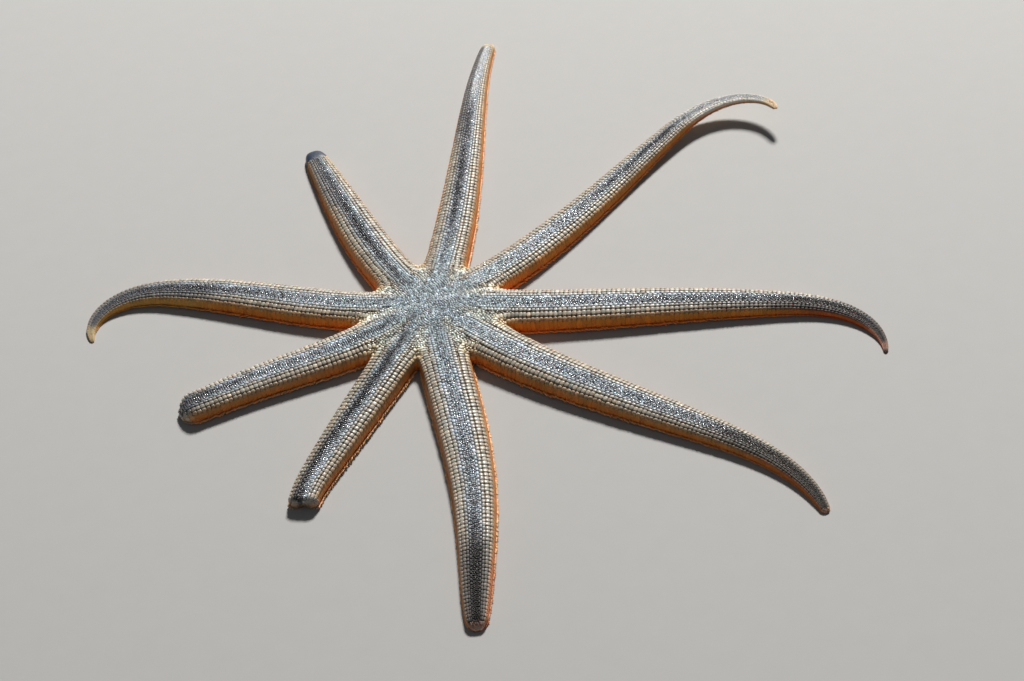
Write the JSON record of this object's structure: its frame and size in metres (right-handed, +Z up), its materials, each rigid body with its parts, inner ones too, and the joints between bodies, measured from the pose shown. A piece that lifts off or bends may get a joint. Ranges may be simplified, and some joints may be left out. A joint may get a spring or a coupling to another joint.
{
  "type": "starfish",
  "caption": "Many-armed grey sea star lying flat, slender tapering arms with orange sides, two arms cut short and one regrowing; still life-size model.",
  "frame": {"origin": "on the ground, under the middle of the star's outline seen from above", "axes": "+Z up; +Y along the star's longer extent, toward the tip of arm 1; +X to the right seen from above"},
  "size_m": [0.1404, 0.157, 0.005],
  "materials": {
    "back": "wet granular skin, blue-grey with cream rows of small plates and orange sides",
    "tip": "wet, finer and darker granular skin of the arm tips",
    "stump": "wet granular skin ending in a pale healed stump"
  },
  "bodies": {
    "root": {"disc": "back", "arm_1_base": "back", "arm_1_middle": "back", "arm_1_tip": "tip", "arm_2_base": "back", "arm_2_middle": "back", "arm_2_tip": "tip", "arm_3_base": "back", "arm_3_middle": "back", "arm_3_tip": "tip", "arm_4_base": "back", "arm_4_middle": "back", "arm_4_tip": "tip", "arm_5_base": "back", "arm_5_middle": "back", "arm_5_tip": "tip", "arm_6_base": "back", "arm_6_stump": "stump", "arm_7_base": "back", "arm_7_stump": "stump", "arm_8_base": "back", "arm_8_middle": "back", "arm_8_tip": "tip", "arm_9_base": "back", "arm_9_middle": "back", "arm_9_regrown_tip": "tip"}
  },
  "joints": []
}
